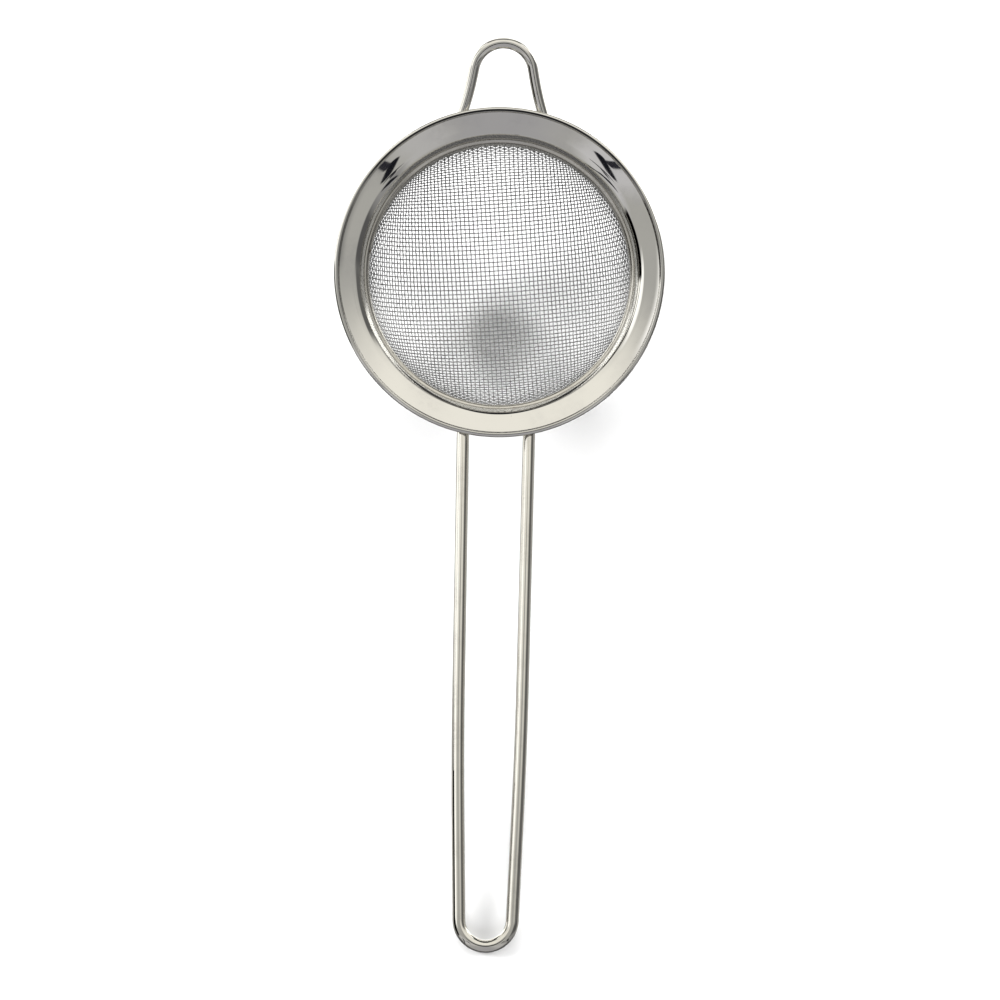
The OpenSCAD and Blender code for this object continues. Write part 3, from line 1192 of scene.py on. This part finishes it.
@dataclass
class Strainer:
    """The whole object, with its driving sizes read from the frame."""

    bead_r: float = 0.65
    handle_wire_r: float = 1.5
    loop_wire_r: float = 1.3
    weld_inset: float = 0.6
    weld_drop: float = 0.55
    hair_gap: float = 0.02
    handle_rise: float = 12.2
    loop_rise: float = 10.0
    bowl_depth: float = 8.0
    cloth_t: float = 0.55
    effects: Effects = field(default_factory=Effects)

    def __post_init__(self) -> None:
        """Reads each node's box and sets up the parts from it."""
        boxes = {name: [np.array(corner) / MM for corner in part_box(name)] for name in
                 ("rim_flange", "clamp_ring", "mesh_bowl", "handle_wire", "rest_loop")}
        rim_r = float(boxes["rim_flange"][1][0])
        self.cloth_r = float(boxes["mesh_bowl"][1][0])
        self.rim = Rim(radius=rim_r, collar_in=self.cloth_r, bead_r=self.bead_r)
        cloth_in = self.cloth_r - self.cloth_t
        self.ring = ClampRing(
            cloth_in=cloth_in, cloth_out=self.cloth_r,
            top=float(boxes["clamp_ring"][1][2]), bottom=float(boxes["clamp_ring"][0][2]),
        )
        self.cloth = WireCloth(
            radius=self.cloth_r - self.cloth_t / 2, centre_z=-self.bowl_depth,
            top=float(boxes["mesh_bowl"][1][2]),
        )
        bead_y = rim_r - self.bead_r
        handle_tip, loop_tip = -float(boxes["handle_wire"][0][1]), float(boxes["rest_loop"][1][1])
        self.handle = self.bent(Handle, -1.0, bead_y, self.handle_wire_r, self.handle_rise, handle_tip)
        self.loop = self.bent(RestLoop, 1.0, bead_y, self.loop_wire_r, self.loop_rise, loop_tip)

    def bent(
        self, kind: type[BentWire], outward: float, bead_y: float, wire_r: float, rise: float, tip_y: float
    ) -> BentWire:
        """Sets up a bent wire that passes just below the bead.

        Args:
            kind: Handle or RestLoop.
            outward: 1 towards +Y, -1 towards -Y.
            bead_y: distance of the bead's middle from the axis.
            wire_r: radius of the wire.
            rise: slope of the wire's plane in degrees.
            tip_y: distance of the wire's far end from the axis.

        Returns:
            The bent wire, ready to build.
        """
        cosine = math.cos(math.radians(rise))
        drop = (self.bead_r + wire_r + self.hair_gap) / cosine
        pivot = np.array([0.0, outward * bead_y, -self.bead_r - drop])
        reach = (tip_y - wire_r - bead_y) / cosine
        return kind(pivot=pivot, rise=rise, wire_r=wire_r, outward=outward, reach=reach)

    def build(self) -> None:
        """Builds every piece in the order in which the real one is put together."""
        finishes = {f.slot: f.material(self.effects) for f in
                    (POLISHED_RIM, ROLLED_HOOP, CLOTH_WIRE, HANDLE_STEEL, LOOP_STEEL, WELD_METAL)}
        self.rim.build(finishes["polished_rim"])
        self.cloth.build(finishes["wire_cloth"])
        self.ring.build(finishes["clamp_ring"])
        self.handle.build(finishes["handle_wire"])
        self.loop.build(finishes["loop_wire"])
        mirror = np.array([-1.0, 1.0, 1.0])
        for name, node, wire in (
            ("handle_weld_spots", "handle_welds", self.handle),
            ("loop_weld_spots", "loop_welds", self.loop),
        ):
            path = wire.path()
            end, inward = path[-1] * mirror, unit(path[-1] - path[-2]) * mirror
            foot = end - inward * self.weld_inset - wire.plane_normal() * self.weld_drop
            Welds(name, node, foot, self.rim).build(finishes["weld_metal"])


# --------------------------------------------------------------------------------------------
# Stage: table, light and camera
# --------------------------------------------------------------------------------------------


@dataclass
class Table:
    """The white table top, tangent to the bowl and to the far end of the handle."""

    strainer: Strainer
    half_size: float = 900.0
    fade_from: float = 300.0
    fade_to: float = 520.0
    colour: tuple[float, float, float] = (0.9, 0.9, 0.9)

    def plane(self) -> tuple[np.ndarray, np.ndarray]:
        """Unit normal of the table and the point where the bowl touches it.

        With n = (0, sin t, cos t), both n . C - R and n . E - r equal the table's height, where C
        and R are the bowl's centre and radius and E and r the end bend's. That gives
        sin(t + p) = (r - R) / D, where D and p are the length and angle of E - C.

        Returns:
            The normal and the touching point, in millimetres.
        """
        s = self.strainer
        centre = np.array([0.0, 0.0, -s.bowl_depth])
        end = s.handle.place(np.array([0.0, s.handle.reach, 0.0]))
        d = end - centre
        length, angle = math.hypot(d[1], d[2]), math.atan2(d[2], d[1])
        tilt = math.pi - math.asin((s.handle.wire_r - s.cloth_r) / length) - angle
        normal = np.array([0.0, math.sin(tilt), math.cos(tilt)])
        return normal, centre - normal * (s.cloth_r + s.hair_gap)

    def build(self) -> None:
        """Lays the table top, seen only from above, which fades into the white backdrop far away."""
        normal, touch = self.plane()
        u = np.array([1.0, 0.0, 0.0])
        v = np.cross(normal, u)
        h = self.half_size
        signs = ((-1, -1), (1, -1), (1, 1), (-1, 1))
        corners = np.array([touch + a * h * u + b * h * v for a, b in signs]) * MM
        mesh = bpy.data.meshes.new("table_top")
        mesh.from_pydata(corners.tolist(), [], [(0, 1, 2, 3)])
        top = linked("table_top", mesh)
        made, t = fresh_material("white_table")
        paint = t.add("ShaderNodeBsdfDiffuse", in_Color=(*self.colour, 1.0))
        clear = t.add("ShaderNodeBsdfTransparent")
        side = t.add("ShaderNodeNewGeometry").outputs["Backfacing"]
        away = t.vector("LENGTH", t.add("ShaderNodeTexCoord").outputs["Object"]).outputs["Value"]
        gone = t.math("MAXIMUM", side, t.ramp(away, self.fade_from * MM, self.fade_to * MM, 0.0, 1.0))
        shown = t.add("ShaderNodeMixShader", in_0=gone, in_1=paint.outputs[0], in_2=clear.outputs[0])
        t.feed(shown.outputs[0], t.add("ShaderNodeOutputMaterial").inputs[0])
        mesh.materials.append(made)
        top.visible_glossy = False
        LOG.info("table tilted %.1f degrees", math.degrees(math.acos(normal[2])))


class Sky:
    """Direction-dependent colour of the surroundings, painted over in turn by panels and streaks."""

    def __init__(self, t: Tree, base: tuple[float, float, float]) -> None:
        """Sets the base colour and works out azimuth and polar angle of the looking direction.

        Args:
            t: the world's tree.
            base: colour of the room where nothing is painted over it.
        """
        self.t = t
        self.direction = t.add("ShaderNodeTexCoord").outputs["Generated"]
        parts = t.add("ShaderNodeSeparateXYZ", in_0=self.direction).outputs
        flat = t.add("ShaderNodeCombineXYZ", in_0=parts[0], in_1=parts[1], in_2=0.0).outputs[0]
        self.heading = t.vector("NORMALIZE", flat).outputs[0]
        self.polar = t.math("ARCCOSINE", parts[2])
        self.colour: object = (*base, 1.0)

    def paint(self, mask: bpy.types.NodeSocket, colour: tuple[float, float, float]) -> None:
        """Lays a colour over what is there, where the mask is 1."""
        self.colour = self.t.mix(mask, self.colour, (*colour, 1.0))


@dataclass(frozen=True)
class Panel:
    """A soft-edged patch of the surroundings.

    azimuth runs from +X towards +Y and polar down from +Z, in degrees; wide and high are half
    extents, and soft_wide and soft_high the angles over which the patch fades.
    """

    azimuth: float
    wide: float
    soft_wide: float
    polar: float
    high: float
    soft_high: float
    colour: tuple[float, float, float]

    def paint(self, sky: Sky) -> None:
        """Adds the patch: directions within half its width and height, with eased edges.

        Args:
            sky: the sky painted so far.
        """
        t, a = sky.t, math.radians(self.azimuth)
        ahead = t.vector("DOT_PRODUCT", sky.heading, (math.cos(a), math.sin(a), 0.0)).outputs["Value"]
        off = t.math("ARCCOSINE", t.math("MINIMUM", ahead, 1.0))
        low, high = (math.radians(self.wide + k * self.soft_wide) for k in (-0.5, 0.5))
        across = t.ramp(off, low, high, 1.0, 0.0)
        rise = t.math("ABSOLUTE", t.math("SUBTRACT", sky.polar, math.radians(self.polar)))
        low, high = (math.radians(self.high + k * self.soft_high) for k in (-0.5, 0.5))
        sky.paint(t.math("MULTIPLY", across, t.ramp(rise, low, high, 1.0, 0.0)), self.colour)


@dataclass(frozen=True)
class Streak:
    """A dark bar or pole of a light stand, from one direction (azimuth, polar) to another."""

    start: tuple[float, float]
    end: tuple[float, float]
    half_width: float
    colour: tuple[float, float, float] = (0.012, 0.013, 0.018)

    def paint(self, sky: Sky) -> None:
        """Adds the bar: directions whose distance from the segment start-end is small.

        Args:
            sky: the sky painted so far.
        """
        t = sky.t
        ends = []
        for azimuth, polar in (self.start, self.end):
            a, p = math.radians(azimuth), math.radians(polar)
            ends.append(Vector((math.sin(p) * math.cos(a), math.sin(p) * math.sin(a), math.cos(p))))
        run = ends[1] - ends[0]
        off = t.vector("SUBTRACT", sky.direction, tuple(ends[0]))
        share = t.vector("DOT_PRODUCT", off.outputs[0], tuple(run / run.length_squared)).outputs["Value"]
        held = t.math("MINIMUM", t.math("MAXIMUM", share, 0.0), 1.0)
        foot = t.vector("SCALE", tuple(run))
        t.feed(held, foot.inputs["Scale"])
        gap = t.vector("LENGTH", t.vector("SUBTRACT", off.outputs[0], foot.outputs[0]).outputs[0])
        wide = math.radians(self.half_width)
        sky.paint(t.ramp(gap.outputs["Value"], wide * 0.8, wide * 1.2, 1.0, 0.0), self.colour)


@dataclass(frozen=True)
class Lamp:
    """A soft square lamp, placed by its azimuth and height angle over the table."""

    name: str
    azimuth: float
    height: float
    size: float
    power: float
    distance: float = 1000.0


@dataclass
class Studio:
    """Plain soft studio.

    The steel mirrors the painted surroundings, the table is lit by the lamps. The lamps stand low
    on all four sides, so that the cloth's shadow closes up to a small patch where it touches. A
    black flag stands at flag_x beside the handle, over the shares flag_span of its reach, and a black
    disc surrounds the camera, hood_behind it.
    """

    table: Table
    flag_x: float = -17.0
    flag_span: tuple[float, float] = (0.66, 1.03)
    flag_feet: tuple[float, float] = (-0.5, -2.0)
    flag_tops: tuple[float, float] = (4.0, 5.0)
    hood_r: float = 85.0
    hood_behind: float = 25.5
    room: tuple[float, float, float] = (0.56, 0.56, 0.55)
    panels: tuple[Panel, ...] = (
        Panel(0.0, 180.0, 0.0, 150.0, 40.0, 14.0, (1.45, 1.45, 1.42)),
        Panel(90.0, 62.0, 24.0, 150.0, 38.0, 8.0, (1.70, 1.69, 1.66)),
        Panel(-90.0, 62.0, 24.0, 119.0, 31.0, 8.0, (0.12, 0.12, 0.13)),
        Panel(-90.0, 28.0, 40.0, 45.0, 50.0, 20.0, (0.49, 0.49, 0.52)),
        Panel(-143.0, 15.0, 16.0, 40.0, 32.0, 15.0, (0.76, 0.76, 0.80)),
        Panel(-52.0, 12.0, 14.0, 40.0, 32.0, 15.0, (0.63, 0.63, 0.65)),
        Panel(90.0, 56.0, 44.0, 53.0, 26.0, 5.0, (1.22, 1.20, 1.14)),
        Panel(162.0, 17.0, 12.0, 52.0, 11.0, 7.0, (1.50, 1.50, 1.50)),
        Panel(136.0, 20.0, 8.0, 121.0, 33.0, 4.0, (2.6, 2.6, 2.56)),
        Panel(163.0, 12.0, 6.0, 87.0, 34.0, 6.0, (1.75, 1.75, 1.73)),
        Panel(44.0, 20.0, 8.0, 121.0, 33.0, 4.0, (2.6, 2.6, 2.56)),
        Panel(-30.0, 12.0, 10.0, 74.0, 34.0, 14.0, (0.36, 0.36, 0.37)),
        Panel(-6.0, 14.0, 12.0, 74.0, 34.0, 14.0, (0.13, 0.13, 0.135)),
        Panel(20.0, 15.0, 10.0, 72.0, 20.0, 10.0, (0.16, 0.16, 0.16)),
        Panel(90.0, 42.0, 24.0, 122.0, 22.0, 4.0, (1.00, 0.99, 0.95)),
        Panel(187.0, 15.0, 4.0, 85.0, 24.0, 3.0, (0.0, 0.0, 0.0)),
        Panel(90.0, 180.0, 0.0, 0.0, 21.0, 12.0, (0.38, 0.375, 0.36)),
    )
    streaks: tuple[Streak, ...] = (
        Streak((90.0, 79.0), (109.0, 94.0), 9.0),
        Streak((109.0, 94.0), (124.0, 120.0), 8.0),
        Streak((90.0, 79.0), (71.0, 94.0), 9.0),
        Streak((71.0, 94.0), (56.0, 120.0), 8.0),
        Streak((138.0, 84.0), (153.0, 78.0), 5.0),
        Streak((153.0, 78.0), (171.0, 73.0), 2.5),
        Streak((-137.8, 29.5), (-148.3, 24.4), 1.7),
        Streak((-143.0, 30.5), (-144.4, 38.5), 1.25, (0.03, 0.03, 0.04)),
        Streak((-148.0, 49.0), (-141.0, 62.0), 2.6),
        Streak((-141.0, 62.0), (-132.0, 86.0), 1.8),
        Streak((-36.2, 29.2), (-28.2, 24.2), 1.7),
        Streak((-33.3, 30.5), (-34.0, 38.5), 1.25, (0.03, 0.03, 0.04)),
        Streak((-30.0, 49.0), (-35.0, 66.0), 2.6),
        Streak((-35.0, 66.0), (-43.0, 96.0), 1.8),
    )
    lamps: tuple[Lamp, ...] = (
        Lamp("lamp_left", 176.0, 24.0, 360.0, 11.0),
        Lamp("lamp_right", 4.0, 24.0, 450.0, 8.0),
        Lamp("lamp_back", 90.0, 24.0, 320.0, 7.0),
        Lamp("lamp_front", -90.0, 24.0, 450.0, 6.0),
        Lamp("lamp_upper_left", 130.0, 45.0, 600.0, 2.0),
        Lamp("lamp_overhead", 90.0, 80.0, 800.0, 3.8),
    )

    def build(self) -> None:
        """Makes the surroundings and the lamps."""
        world = bpy.data.worlds.new("studio")
        bpy.context.scene.world = world
        world.use_nodes = True
        world.cycles_visibility.diffuse = False
        t = Tree(world.node_tree)
        t.tree.nodes.clear()
        sky = Sky(t, self.room)
        for patch in (*self.panels, *self.streaks):
            patch.paint(sky)
        seen = t.add("ShaderNodeLightPath").outputs["Is Camera Ray"]
        colour = t.mix(seen, sky.colour, (1.0, 1.0, 1.0, 1.0))
        light = t.add("ShaderNodeBackground", in_Color=colour)
        t.feed(light.outputs[0], t.add("ShaderNodeOutputWorld").inputs[0])
        for lamp in self.lamps:
            self.hang(lamp)
        self.flags()

    def flags(self) -> None:
        """Stands a black flag beside the far end of the handle, and a black disc at the camera."""
        handle = self.table.strainer.handle
        near, far = (handle.reach * share for share in self.flag_span)
        flat = np.array([
            [self.flag_x, near, self.flag_feet[0]], [self.flag_x, far, self.flag_feet[1]],
            [self.flag_x, far, self.flag_tops[1]], [self.flag_x, near, self.flag_tops[0]],
        ])
        self.black_card("black_flag", handle.place(flat) * MM)
        camera = bpy.context.scene.camera.matrix_world
        turn = np.radians(np.arange(0.0, 360.0, 15.0))
        behind = np.full(len(turn), self.hood_behind)
        disc = np.stack([self.hood_r * np.cos(turn), self.hood_r * np.sin(turn), behind], axis=1) * MM
        self.black_card("black_lens_hood", np.array([camera @ Vector(point) for point in disc]))

    def black_card(self, name: str, corners: np.ndarray) -> None:
        """Makes a black card that shows only as a reflection in the steel.

        Args:
            name: the card's name.
            corners: its corners in metres, shape (n, 3).
        """
        mesh = bpy.data.meshes.new(name)
        mesh.from_pydata(corners.tolist(), [], [tuple(range(len(corners)))])
        made = linked(name, mesh)
        black, t = fresh_material(name)
        paint = t.add("ShaderNodeBsdfDiffuse", in_Color=(0.002, 0.002, 0.002, 1.0))
        t.feed(paint.outputs[0], t.add("ShaderNodeOutputMaterial").inputs[0])
        mesh.materials.append(black)
        made.visible_camera = False
        made.visible_diffuse = False
        made.visible_shadow = False

    def hang(self, lamp: Lamp) -> None:
        """Adds a lamp that lights the table but isn't mirrored in the steel.

        Args:
            lamp: where it stands, its size and its power.
        """
        normal, touch = self.table.plane()
        a, e = math.radians(lamp.azimuth), math.radians(lamp.height)
        u = np.array([1.0, 0.0, 0.0])
        v = np.cross(normal, u)
        away = math.cos(e) * (math.cos(a) * u + math.sin(a) * v) + math.sin(e) * normal
        data = bpy.data.lights.new(lamp.name, "AREA")
        data.size = lamp.size * MM
        data.energy = lamp.power * (lamp.distance * MM) ** 2
        made = linked(lamp.name, data)
        made.location = (touch + away * lamp.distance) * MM
        made.rotation_mode = "QUATERNION"
        made.rotation_quaternion = Vector(away).to_track_quat("Z", "Y")
        made.visible_glossy = False


@dataclass
class Viewpoint:
    """The camera above the strainer, looking down along the bowl with the rim high in the frame.

    tilt, roll and the place of the rim's centre in the frame are angles in degrees.
    """

    distance: float = 650.0
    lens: float = 96.98
    sensor: float = 36.0
    clip: tuple[float, float] = (10.0, 20000.0)
    tilt: float = 1.2
    roll: float = 1.2
    rim_above_axis: float = 4.846
    rim_right_of_axis: float = -0.013

    def build(self) -> None:
        """Places the camera so that the rim's centre lies where the view wants it."""
        a, t = math.radians(self.tilt), math.radians(self.roll)
        ahead = Vector((0.0, math.sin(a), -math.cos(a)))
        up = Vector((0.0, math.cos(a), math.sin(a)))
        right = Vector((1.0, 0.0, 0.0))
        right, up = right * math.cos(t) + up * math.sin(t), up * math.cos(t) - right * math.sin(t)
        above, beside = (math.tan(math.radians(x)) for x in (self.rim_above_axis, self.rim_right_of_axis))
        offset = above * up + beside * right
        place = -(ahead + offset) * self.distance * MM
        data = bpy.data.cameras.new("camera")
        data.lens, data.sensor_width = self.lens, self.sensor
        data.clip_start, data.clip_end = (limit * MM for limit in self.clip)
        camera = linked("camera", data)
        turn = Matrix((right, up, -ahead)).transposed()
        camera.matrix_world = Matrix.Translation(place) @ turn.to_4x4()
        bpy.context.scene.camera = camera


def show_colours_plainly() -> None:
    """Sets a plain display transform, so that white paper renders white."""
    settings = bpy.context.scene.view_settings
    settings.view_transform = "Standard"
    settings.look = "None"


def main() -> None:
    """Builds the camera, the strainer and the stage."""
    logging.basicConfig(level=logging.INFO, format="%(name)s: %(message)s")
    show_colours_plainly()
    Viewpoint().build()
    strainer = Strainer()
    strainer.build()
    table = Table(strainer)
    table.build()
    Studio(table).build()


if __name__ == "__main__":
    main()
